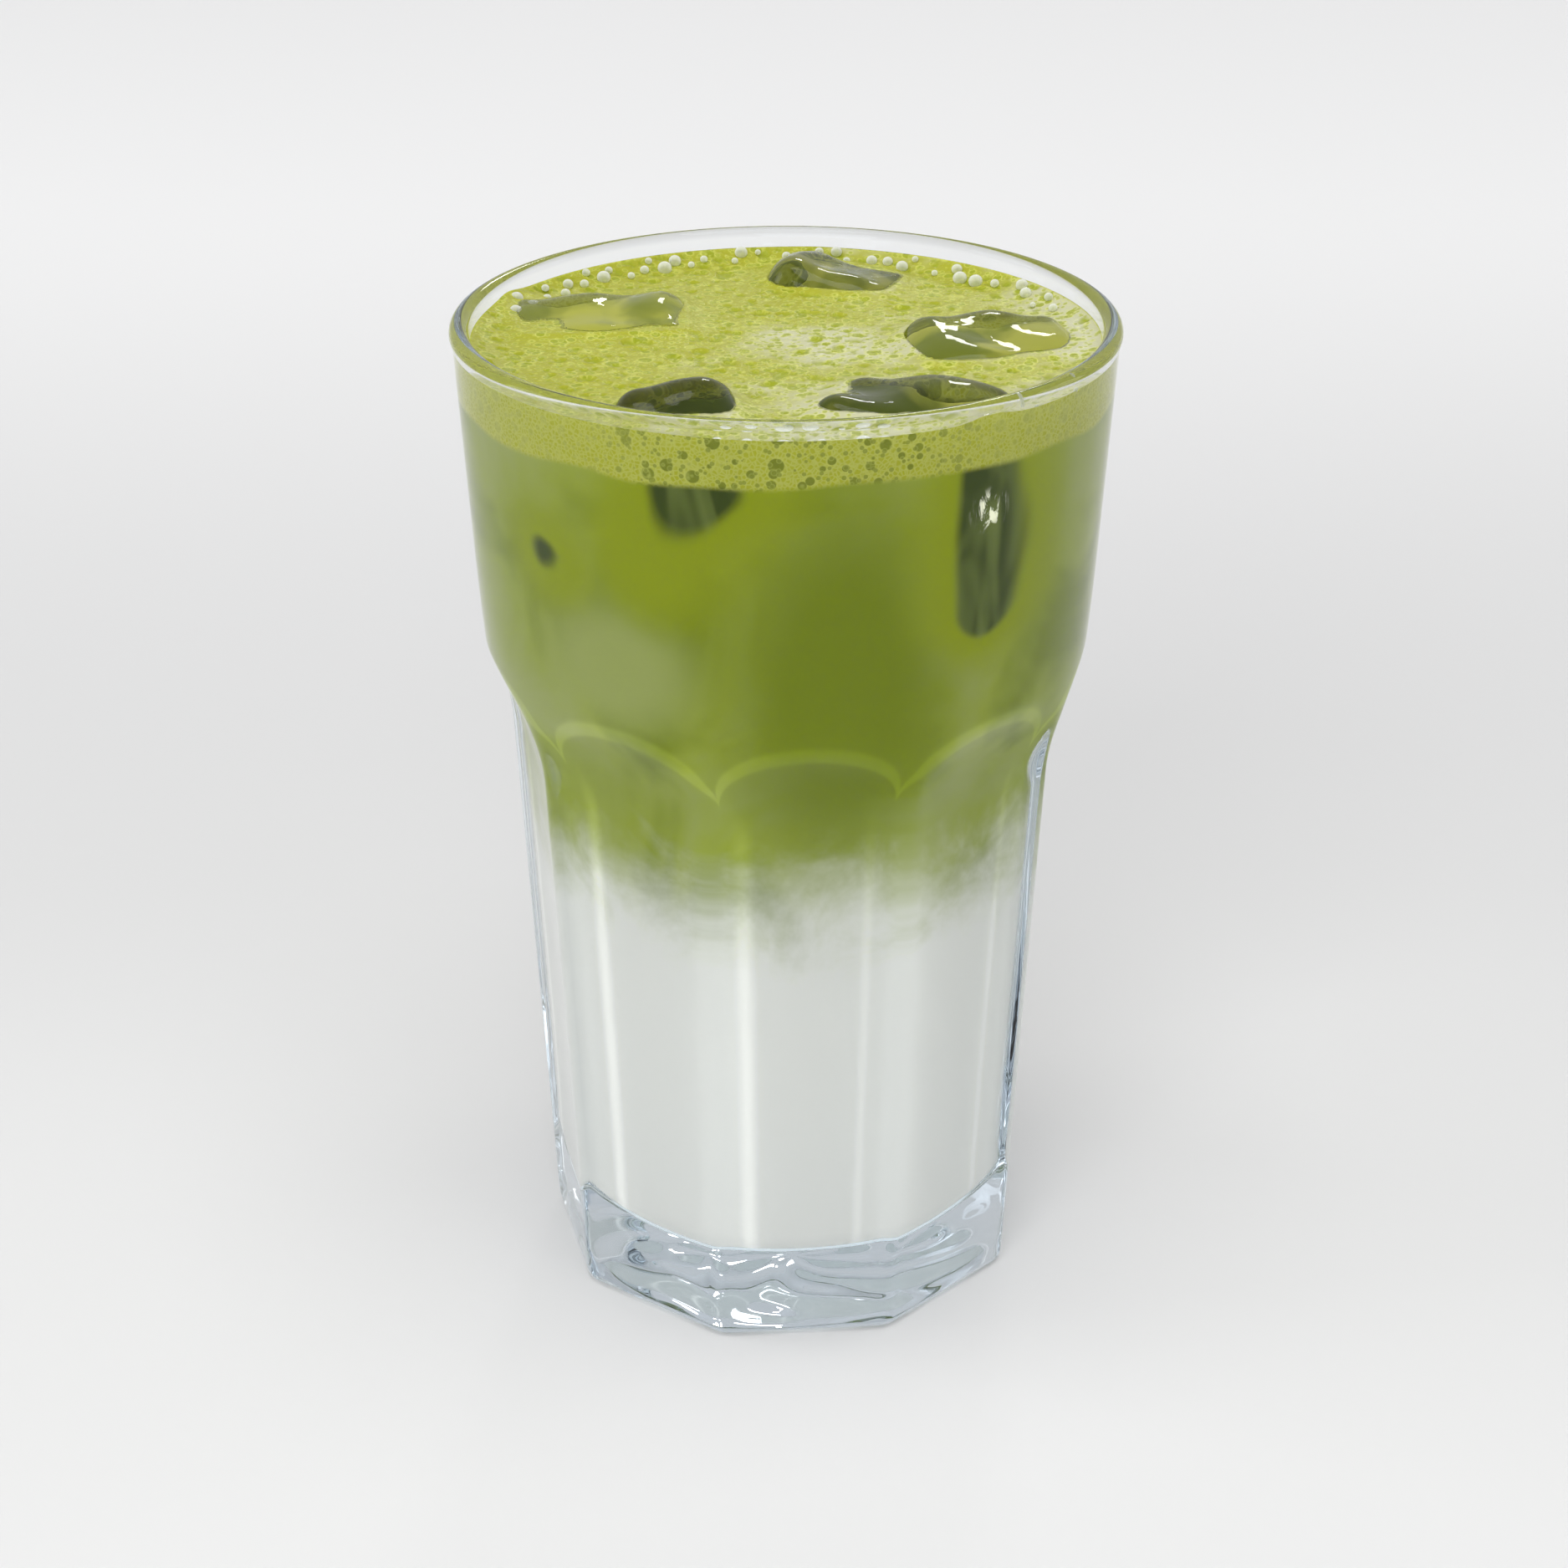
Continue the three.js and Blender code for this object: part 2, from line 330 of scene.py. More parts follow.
def round_body(g, z):
    """Radius of the round tumbler at a height, under the rim's bead."""
    low = g.base_radius + (g.shoulder_low_r - g.base_radius) * z / g.shoulder_low_z
    cone = (g.shoulder_top_r - g.shoulder_low_r) / (g.shoulder_top_z - g.shoulder_low_z)
    shoulder = g.shoulder_low_r + cone * (z - g.shoulder_low_z)
    rim_z = g.height - g.rim_bead
    wall = (g.rim_radius + g.rim_bead - g.bead_proud - g.shoulder_top_r) / (rim_z - g.shoulder_top_z)
    top = g.shoulder_top_r + wall * (z - g.shoulder_top_z)
    return soft_max(low, soft_min(shoulder, top, g.shoulder_softness), g.waist_softness)


def panel_face(g, z):
    """Distance of a panel's middle from the axis at a height."""
    rise = np.clip(z - g.panel_curve_z, 0, g.panel_curve_radius * 0.95)
    curve = g.panel_curve_radius - np.sqrt(g.panel_curve_radius ** 2 - rise ** 2)
    foot = np.clip(g.base_edge - z, 0, g.base_edge)
    edge = g.base_edge - np.sqrt(g.base_edge ** 2 - foot ** 2)
    return g.panel_foot + g.panel_lean * z + curve - edge


def outer_radius(g, azimuth, z):
    """Radius of the glass's outside. Azimuth 0 faces the front, and positive is to the right."""
    step = 2 * math.pi / g.panels
    angle = (azimuth - g.first_panel + step / 2) % step - step / 2
    face = panel_face(g, z)
    hollow = g.flute * smooth(*FLUTE_STARTS, z) * (1 - smooth(*FLUTE_ENDS, z))
    near = np.abs(angle)
    own = face / np.cos(near) - hollow * (1 - (near / (step / 2)) ** 2)
    other_angle = step - near
    other = face / np.cos(other_angle) + hollow * ((other_angle / (step / 2)) ** 2 - 1)
    faceted = soft_min(own, other, g.ridge_blend)
    return soft_min(faceted, round_body(g, z), g.arch_blend)


def inner_radius(g, z):
    """Radius of the glass's inside at a height: two cones, a smooth shoulder and a round corner."""
    lower = g.floor_radius + g.lower_wall_lean * (z - g.floor_z)
    rim_z = g.height - g.rim_bead
    upper = g.rim_radius - g.rim_bead - g.upper_wall_lean * (rim_z - z)
    radius = lower + (upper - lower) * smooth(g.inner_shoulder_low, g.inner_shoulder_top, z)
    below = np.clip(g.floor_z + g.floor_rounding - z, 0, g.floor_rounding)
    return radius - g.floor_rounding + np.sqrt(g.floor_rounding ** 2 - below ** 2)


def new_mesh(name, points, faces):
    mesh = bpy.data.meshes.new(name)
    mesh.from_pydata([tuple(p) for p in points], [], faces)
    mesh.validate()
    mesh.shade_smooth()
    mesh.set_sharp_from_angle(angle=math.radians(SHARP_DEGREES))
    piece = bpy.data.objects.new(name, mesh)
    bpy.context.collection.objects.link(piece)
    return piece


def keep_values(piece, name, values):
    """Stores a number for each point of a mesh, for its material to read."""
    attribute = piece.data.attributes.new(name, "FLOAT", "POINT")
    attribute.data.foreach_set("value", np.asarray(values, dtype=np.float32))


def ring_faces(low, high):
    """Quads between two closed rings, each given by the indices of its points."""
    return np.stack([low, np.roll(low, -1), np.roll(high, -1), high], axis=1).tolist()


def ring_fan(edge, pole):
    """Triangles between a closed ring and a pole."""
    return np.stack([edge, np.roll(edge, -1), np.full(len(edge), pole)], axis=1).tolist()


def turned_mesh(name, rings, low_pole, high_pole):
    """A closed mesh of rings, each an array of points, between two poles."""
    points = np.concatenate([[low_pole], *rings, [high_pole]])
    rows = 1 + np.arange(len(points) - 2).reshape(len(rings), -1)
    faces = ring_fan(rows[0][::-1], 0)
    for low, high in zip(rows, rows[1:]):
        faces += ring_faces(low, high)
    faces += ring_fan(rows[-1], len(points) - 1)
    return new_mesh(name, points, faces)


def ring(radius, z, azimuths):
    """Points at a radius and height. Azimuth 0 faces the front and grows to the right."""
    radius = np.broadcast_to(radius, azimuths.shape)
    z = np.broadcast_to(z, azimuths.shape)
    return np.stack([radius * np.sin(azimuths), -radius * np.cos(azimuths), z], axis=1)


def base_height(g, share, azimuths):
    """Height of the glass's underside at a share of its radius: hollow, and wavy from the press."""
    waves = np.sin(5 * azimuths + 9 * share) + np.sin(8 * azimuths - 14 * share + 2)
    inside = smooth(0.0, 0.3, share) * smooth(0.94, 0.7, share)
    return g.punt * smooth(0.94, 0.5, share) + g.base_waves * waves * inside


def make_glass(g):
    azimuths = np.linspace(0, 2 * math.pi, AROUND_GLASS, endpoint=False)
    rim_z = g.height - g.rim_bead
    low, high = SHOULDER_RINGS
    edge_heights = g.base_edge * (1 - np.cos(np.linspace(0, math.pi / 2, 7)))
    heights = np.concatenate([
        edge_heights, np.linspace(4 * MM, low - 2 * MM, 16), np.linspace(low, high, 40),
        np.linspace(high + 4 * MM, rim_z - 1.5 * MM, 8)])
    base = g.panel_foot - g.base_edge
    rings = [ring(base * f, base_height(g, f, azimuths), azimuths) for f in np.linspace(0.1, 0.96, 22)]
    rings += [ring(outer_radius(g, azimuths, z), z, azimuths) for z in heights]
    for angle in np.linspace(0, math.pi, 15):
        out, up = math.cos(angle), math.sin(angle)
        rings.append(ring(g.rim_radius + g.rim_bead * out, rim_z + g.rim_bead * up, azimuths))
    corner = g.floor_z + g.floor_rounding * (1 - np.cos(np.linspace(0, math.pi / 2, 9)))
    inside = np.concatenate([
        np.linspace(rim_z - 2 * MM, high, 8), np.linspace(high - 2 * MM, low, 24),
        np.linspace(low - 4 * MM, g.floor_z + g.floor_rounding + 2 * MM, 8), corner[::-1]])
    rings += [ring(inner_radius(g, z), z, azimuths) for z in inside]
    floor = inner_radius(g, g.floor_z)
    rings += [ring(floor * f, g.floor_z, azimuths) for f in (0.8, 0.5, 0.25)]
    return turned_mesh("glass_tumbler", rings, (0, 0, g.punt), (0, 0, g.floor_z))


def make_layer(name, g, d, low, high, cap_low=True):
    """One level of the drink, reaching just into the wall. It knows how deep each point lies in the ice."""
    azimuths = np.linspace(0, 2 * math.pi, AROUND_DRINK, endpoint=False)
    heights = np.linspace(low, high, max(8, int((high - low) / (0.8 * MM))))
    if cap_low:
        corner = low + g.floor_rounding * (1 - np.cos(np.linspace(0, math.pi / 2, 9)))
        heights = np.concatenate([corner, heights[heights > corner[-1]]])
    rings = [ring(inner_radius(g, max(z, g.floor_z)) + d.into_wall, z, azimuths) for z in heights]
    piece = turned_mesh(name, rings, (0, 0, low), (0, 0, high))
    points = np.array([tuple(v.co) for v in piece.data.vertices])
    depth = np.full(len(points), -1.0)
    for block, ice in ice_shapes().items():
        shift, wider = SEEN_SHIFT.get(block, ((0, 0, 0), 0))
        depth = np.maximum(depth, ice.depth(points - np.array(shift) * MM) + wider * MM)
    keep_values(piece, "in_ice", depth / MM)
    return piece


class Ice:
    """A half-melted block in its own frame, as in the CAD, with finer hollows."""

    def __init__(self, at, size, turn):
        self.at = np.array(at) * MM
        self.half = np.array(size) * MM / 2
        self.axes = np.array(Euler([math.radians(a) for a in turn], "XYZ").to_matrix())

    def mesh(self, steps, grow=0.0):
        bm = bmesh.new()
        bmesh.ops.create_cube(bm, size=2)
        bmesh.ops.subdivide_edges(bm, edges=bm.edges[:], cuts=steps, use_grid_fill=True)
        rounding = min(ICE_ROUNDING * MM, self.half.min() * 0.8)
        half = self.half + grow
        for v in bm.verts:
            p = np.array(v.co) * half
            core = np.clip(p, -half + rounding, half - rounding)
            out = (p - core) / max(np.linalg.norm(p - core), 1e-9)
            p = core + out * rounding
            q = p / MM
            p = p * self.melt(p)
            dent = noise.noise(Vector(q / DENT_SPACING + self.at / MM)) * DENT_DEPTH
            v.co = self.axes @ (p + out * dent * MM) + self.at
        points = np.array([tuple(v.co) for v in bm.verts])
        faces = [tuple(v.index for v in f.verts) for f in bm.faces]
        bm.free()
        return points, faces

    def melt(self, points):
        """How much the block's faces swell or sag at points in its own frame, as a factor."""
        x, y, z = np.moveaxis(points / MM, -1, 0)
        phase = self.at / MM
        return 1 + ICE_MELT * np.sin(x / 4 + phase[0]) * np.sin(y / 4 + phase[1]) * np.cos(z / 6)

    def depth(self, points):
        """How deep points lie inside the block: negative outside."""
        q = (points - self.at) @ self.axes
        q = q / self.melt(q)[:, None]
        rounding = ICE_ROUNDING * MM
        gap = np.abs(q) - (self.half - rounding)
        outside = np.linalg.norm(np.maximum(gap, 0), axis=1)
        inside = np.minimum(gap.max(axis=1), 0)
        return rounding - outside - inside


def ice_shapes():
    shapes = {name: Ice(*numbers) for name, numbers in ICE_BLOCKS.items()}
    shapes["sunken_chip"] = Ice(*SUNKEN_CHIP)
    return shapes


def foam_level(g, d, x, y):
    """Height of the foam's top: it climbs the wall and clings a little to the ice."""
    radius = np.hypot(x, y)
    edge = inner_radius(g, d.foam_top) + d.into_wall
    climb = np.clip((radius - edge + d.foam_creep_width) / d.foam_creep_width, 0, 1)
    z = d.foam_top + d.foam_creep * climb ** 2
    points = np.stack([x, y, np.full(x.shape, d.foam_top)], axis=1)
    for ice in ice_shapes().values():
        gap = np.maximum(-ice.depth(points), 0)
        z = z + FROTH_CLING[0] * np.exp(-gap / FROTH_CLING[1])
    return z


def open_bubbles(d, x, y, edge):
    """Open bubbles over points of the foam's top: how much each point lies in a pit, and how far it is
    lifted."""
    rng = np.random.default_rng(FOAM_SEED)
    tree = kdtree.KDTree(len(x))
    for i in range(len(x)):
        tree.insert((x[i], y[i], 0), i)
    tree.balance()
    pit = np.zeros(len(x))
    lift = np.zeros(len(x))
    middle, spread, smallest, largest = OPEN_RADII
    rim_reach, rim_height = OPEN_RIM
    radii = np.clip(rng.lognormal(math.log(middle), spread, d.bubbles), smallest, largest)
    for bubble in np.sort(radii)[::-1] * MM:
        r = edge * math.sqrt(rng.random()) * 0.99
        a = rng.random() * 2 * math.pi
        cx, cy = r * math.cos(a), r * math.sin(a)
        for _, i, dist in tree.find_range((cx, cy, 0), bubble * rim_reach):
            t = dist / bubble
            if t < 1:
                pit[i] = max(pit[i], 1 - t ** 4)
                lift[i] = min(lift[i], -d.bubble_depth * bubble * math.sqrt(max(1 - t * t, 0)))
            elif lift[i] >= 0:
                lift[i] = max(lift[i], rim_height * bubble * (rim_reach - t) / (rim_reach - 1))
    return pit, lift


def make_foam(g, d):
    """The foam: a fine top with open bubbles, and a plain side against the glass. Its mesh knows where the
    pits and the side are."""
    line = np.linspace(-1, 1, FOAM_GRID + 1)
    u, v = np.meshgrid(line, line)
    edge = inner_radius(g, d.foam_top + d.foam_creep) + d.into_wall
    x = (u * np.sqrt(1 - v ** 2 / 2) * edge).ravel()
    y = (v * np.sqrt(1 - u ** 2 / 2) * edge).ravel()
    pit, lift = open_bubbles(d, x, y, edge)
    radius = np.hypot(x, y)
    inside = smooth(edge, edge - 0.6 * MM, radius)
    spacing, height = FROTH_GRAIN
    across, along = x / MM / spacing, y / MM / spacing
    grain = np.array([noise.noise(Vector((a, b, 3))) for a, b in zip(across, along)])
    tops = np.stack([x, y, np.full(x.shape, d.foam_top)], axis=1)
    clear = np.ones(len(x))
    for ice in ice_shapes().values():
        clear = clear * smooth(0.3 * MM, 1.5 * MM, -ice.depth(tops))
    z = foam_level(g, d, x, y) + (lift * clear + grain * height) * inside

    points = np.stack([x, y, z], axis=1)
    index = np.arange(len(x)).reshape(u.shape)
    corners = index[:-1, :-1], index[:-1, 1:], index[1:, 1:], index[1:, :-1]
    faces = np.stack(corners, axis=-1).reshape(-1, 4).tolist()
    border = np.concatenate([index[0, :-1], index[:-1, -1], index[-1, :0:-1], index[:0:-1, 0]])

    low, top = FOAM_LOW[2], z[border]
    azimuths = np.arctan2(x[border], -y[border])
    levels = [top + (low - top) * (k / FOAM_RINGS) for k in range(1, FOAM_RINGS + 1)]
    sides = np.concatenate([ring(inner_radius(g, level) + d.into_wall, level, azimuths) for level in levels])
    below = len(points) + np.arange(len(sides)).reshape(FOAM_RINGS, -1)
    for upper, next_down in zip([border, *below], below):
        faces += ring_faces(next_down, upper)
    centre = len(points) + len(sides)
    faces += ring_fan(below[-1][::-1], centre)

    piece = new_mesh("foam_top", np.concatenate([points, sides, [[0, 0, low]]]), faces)
    lower = len(sides) + 1
    keep_values(piece, "pit", np.concatenate([pit * inside * clear, np.zeros(lower)]))
    keep_values(piece, "side", np.concatenate([smooth(0.4 * MM, 0, edge - radius), np.ones(lower)]))
    return piece


def inside_wall(g, points, gap):
    """Points kept at least a gap away from the glass's inner wall."""
    radius = np.hypot(points[:, 0], points[:, 1])
    limit = inner_radius(g, points[:, 2]) - gap
    kept = points.copy()
    kept[:, :2] *= np.minimum(1, limit / np.maximum(radius, 1e-9))[:, None]
    return kept


def make_ice(name, ice, g, d):
    """A block. A film of drink is left between it and the wall."""
    points, faces = ice.mesh(ICE_STEPS)
    return new_mesh(name + "_block", inside_wall(g, points, d.film), faces)


def cut_round_ice(piece, looks, g, d):
    """Cuts the blocks out of a piece of the drink. The cut faces get the look of that block."""
    for name, ice in ice_shapes().items():
        points, faces = ice.mesh(CUTTER_STEPS, -OVERLAP)
        points = inside_wall(g, points, d.film + OVERLAP)
        if points[:, 2].max() < lowest(piece):
            continue
        tool = new_mesh("cutter", points, faces)
        tool.data.materials.append(looks[name])
        piece.data.materials.append(looks[name])
        cut = piece.modifiers.new("cut", "BOOLEAN")
        cut.operation = "DIFFERENCE"
        cut.solver = "MANIFOLD"
        cut.object = tool
        with bpy.context.temp_override(object=piece, active_object=piece):
            bpy.ops.object.modifier_apply(modifier=cut.name)
        bpy.data.objects.remove(tool)


def lowest(piece):
    return min(v.co.z for v in piece.data.vertices)


def add(tree, kind, inputs=(), output=None, **settings):
    """Adds a node with its settings. Its inputs, in order or by name, take values or other nodes' outputs.
    Gives the output asked for, or the usual one."""
    usual_output, usual_settings = USUAL.get(kind, (0, {}))
    node = tree.nodes.new(kind)
    for key, value in {**usual_settings, **settings}.items():
        setattr(node, key, value)
    for key, value in inputs.items() if isinstance(inputs, dict) else enumerate(inputs):
        if isinstance(value, bpy.types.NodeSocket):
            tree.links.new(value, node.inputs[key])
        else:
            node.inputs[key].default_value = value
    return node.outputs[usual_output if output is None else output] if node.outputs else None


def ring_band(name, first_edge, second_edge, arc):
    """A band round the axis between two edges, each a radius and a height, along an arc in degrees."""
    azimuths = np.radians(np.linspace(*arc, 49))
    points = np.concatenate([ring(*first_edge, azimuths), ring(*second_edge, azimuths)])
    count = len(azimuths)
    faces = [(i, i + 1, count + i + 1, count + i) for i in range(count - 1)]
    return new_mesh(name, points, faces)


def bubble_tree():
    """Geometry nodes that scatter round domes on a surface, with inputs for their number and sizes."""
    tree = bpy.data.node_groups.new("scattered_bubbles", "GeometryNodeTree")
    kinds = {"Surface": "Geometry", "Seed": "Int", "Look": "Material"}
    inputs = {}
    for name in ("Surface", "Spacing", "Density", "Smallest", "Largest", "Height", "Seed", "Look"):
        kind = "NodeSocket" + kinds.get(name, "Float")
        inputs[name] = tree.interface.new_socket(name, in_out="INPUT", socket_type=kind).identifier
    tree.interface.new_socket("Bubbles", in_out="OUTPUT", socket_type="NodeSocketGeometry")
    given = add(tree, "NodeGroupInput").node.outputs
    points = add(tree, "GeometryNodeDistributePointsOnFaces", {
        "Mesh": given["Surface"], "Distance Min": given["Spacing"], "Density Max": given["Density"],
        "Seed": given["Seed"]}, "Points", distribute_method="POISSON")
    dome = add(tree, "GeometryNodeMeshIcoSphere", {"Radius": 1.0, "Subdivisions": 3}, "Mesh")
    size = add(tree, "FunctionNodeRandomValue", {
        2: given["Smallest"], 3: given["Largest"], "Seed": given["Seed"]}, 1, data_type="FLOAT")
    flat = add(tree, "ShaderNodeCombineXYZ", (1.0, 1.0, given["Height"]))
    scale = add(tree, VECTOR, {0: flat, "Scale": size}, operation="SCALE")
    placed = add(tree, "GeometryNodeInstanceOnPoints", {
        "Points": points, "Instance": dome, "Rotation": points.node.outputs["Rotation"], "Scale": scale})
    real = add(tree, "GeometryNodeRealizeInstances", (placed,))
    smoothed = add(tree, "GeometryNodeSetShadeSmooth", (real,))
    finished = add(tree, "GeometryNodeSetMaterial", {"Geometry": smoothed, "Material": given["Look"]})
    add(tree, "NodeGroupOutput", {"Bubbles": finished})
    return tree, inputs


def scatter_bubbles(name, surface, tree, inputs, values):
    """Runs the tree on a surface, and turns what it makes into a plain piece."""
    scatter = surface.modifiers.new("scatter", "NODES")
    scatter.node_group = tree
    for key, value in values.items():
        scatter[inputs[key]] = value
    bpy.context.view_layer.update()
    evaluated = surface.evaluated_get(bpy.context.evaluated_depsgraph_get())
    mesh = bpy.data.meshes.new_from_object(evaluated)
    mesh.name = name
    surface.modifiers.remove(scatter)
    bpy.data.objects.remove(surface)
    piece = bpy.data.objects.new(name, mesh)
    bpy.context.collection.objects.link(piece)
    return piece


def new_material(name):
    material = bpy.data.materials.new(name)
    material.use_nodes = True
    material.node_tree.nodes.clear()
    return material, material.node_tree


def matcha_colour(tree, place, c):
    """Tea with clouds of milk in it: deepest in the middle of the front, brighter by the ice on its left."""
    clouds = add(tree, NOISE, {
        "Vector": place, "Scale": 1 / (24 * MM), "Detail": 3.0, "Roughness": 0.5, "Distortion": 0.6})
    tone = add(tree, "ShaderNodeValToRGB", (clouds,))
    ramp = tone.node.color_ramp
    ramp.elements[0].position = 0.36
    ramp.elements[0].color = c.matcha_deep
    ramp.elements[1].position = 0.68
    ramp.elements[1].color = c.matcha_pale
    ramp.elements.new(0.5).color = c.matcha
    for (spot, reach), there in (
        (PALE_SPOT, c.matcha_pale), (DEEP_SPOT, c.matcha_deep), (LIT_SPOT, c.matcha_lit),
    ):
        offset = add(tree, VECTOR, (place, [v * MM for v in spot]), operation="SUBTRACT")
        offset = add(tree, VECTOR, (offset, [v * MM for v in reach]), operation="DIVIDE")
        away = add(tree, VECTOR, (offset,), "Value", operation="LENGTH")
        near = add(tree, RANGE, (away, 1.0, 0.3))
        tone = add(tree, MIX, {0: near, 6: tone, 7: there})
    return tone


def foam_colour(tree, place, c):
    """Whisked foam: creamy in the middle and to the front right, greener to the back left, with olive bubbles
    of three sizes."""
    x, y, z = add(tree, "ShaderNodeSeparateXYZ", (place,)).node.outputs
    across = add(tree, MATH, (x, 4.0), operation="MULTIPLY")
    along = add(tree, MATH, (y, -4.0, across), operation="MULTIPLY_ADD")
    aside = add(tree, MATH, (x,), operation="ABSOLUTE")
    along = add(tree, MATH, (aside, -4.4, along), operation="MULTIPLY_ADD")
    patches = add(tree, NOISE, {
        "Vector": place, "Scale": 1 / (16 * MM), "Detail": 4.0, "Roughness": 0.55})
    cream = add(tree, MATH, (patches, along), operation="ADD")
    below_top = add(tree, MATH, (z, FOAM_HIGH[2]), operation="SUBTRACT")
    cream = add(tree, MATH, (below_top, 60.0, cream), operation="MULTIPLY_ADD")
    cream = add(tree, RANGE, (cream, 0.29, 0.59))
    tone = add(tree, MIX, {0: cream, 6: c.foam_green, 7: c.foam})

    # Against the wall the froth is wetter, with a fine net of pale films about 0.6 mm apart.
    side = add(tree, STORED, attribute_name="side")
    low = add(tree, RANGE, (z, 134 * MM, 133 * MM))
    at_wall = add(tree, MATH, (side, low), operation="MAXIMUM")
    films = add(tree, VORONOI, {"Vector": place, "Scale": 1 / (0.6 * MM)}, feature="DISTANCE_TO_EDGE")
    films = add(tree, RANGE, (films, 0.25, 0.0, 0.0, 0.8))
    wet = add(tree, MIX, {0: films, 6: c.foam_wall, 7: c.foam_film})
    tone = add(tree, MIX, {0: at_wall, 6: tone, 7: wet})

    # Against the wall the large bubbles have gathered in the middle, and the froth at the sides is fine.
    faint = add(tree, RANGE, (aside, 14 * MM, 27 * MM, 0.0, -0.8))
    shown = add(tree, MATH, (at_wall, faint, 1.0), operation="MULTIPLY_ADD")

    # Each size of bubble: its spacing in mm, its radius as a share of that, and how strongly it shows.
    dark = add(tree, MIX, {0: at_wall, 6: c.foam_pit, 7: c.wall_bubble})
    for spacing, share, strength in ((4.4, 0.24, 0.9), (2.1, 0.3, 0.85), (1.0, 0.33, 0.6)):
        away = add(tree, VORONOI, {"Vector": place, "Scale": 1 / (spacing * MM)}, feature="F1")
        rim = add(tree, RANGE, (away, share * 1.4, share * 1.1, 0.0, 0.4), interpolation_type="LINEAR")
        tone = add(tree, MIX, {0: rim, 6: tone, 7: c.foam_film})
        disc = add(tree, RANGE, (away, share, share * 0.85, 0.0, strength))
        disc = add(tree, MATH, (disc, shown), operation="MULTIPLY")
        tone = add(tree, MIX, {0: disc, 6: tone, 7: dark})
    return tone


def foam_edge(tree, place):
    """1 in the foam, 0 in the drink below its uneven lower edge."""
    height = add(tree, "ShaderNodeSeparateXYZ", (place,), "Z")
    waves = add(tree, NOISE, {"Vector": place, "Scale": 1 / (26 * MM), "Detail": 1.0})
    edge = add(tree, MATH, (waves, 5.5 * MM, FOAM_LOW[2] - 3.4 * MM), operation="MULTIPLY_ADD")
    above = add(tree, MATH, (height, edge), operation="SUBTRACT")
    return add(tree, RANGE, (above, -0.5 * MM, 0.5 * MM))


def pressed_glass():
    """Soda-lime glass, pressed and fire polished: clear and smooth, faintly blue where it is thick."""
    material, tree = new_material("pressed_soda_lime_glass")
    surface = add(tree, PRINCIPLED, {
        "Base Color": colour("#FDFEFE"), "Roughness": 0.0, "IOR": 1.5, "Transmission Weight": 1.0,
        "Specular Tint": colour(GLASS_SHINE)})
    depth = add(tree, "ShaderNodeVolumeAbsorption", {"Color": colour("#E2F2FF"), "Density": 10.0})
    add(tree, OUTPUT, {"Surface": surface, "Volume": depth})
    return material


def clear_ice():
    """Clear wet ice: smooth and wavy where it has melted, with a lower index than glass."""
    material, tree = new_material("clear_wet_ice")
    place = add(tree, PLACE)
    waves = add(tree, NOISE, {"Vector": place, "Scale": 1 / (5 * MM), "Detail": 2.0})
    bump = add(tree, "ShaderNodeBump", {"Strength": 0.5, "Distance": 0.4 * MM, "Height": waves})
    surface = add(tree, PRINCIPLED, {
        "Base Color": colour("#FAFDF6"), "Roughness": 0.0, "IOR": 1.31, "Transmission Weight": 1.0,
        "Normal": bump})
    add(tree, OUTPUT, {"Surface": surface})
    return material


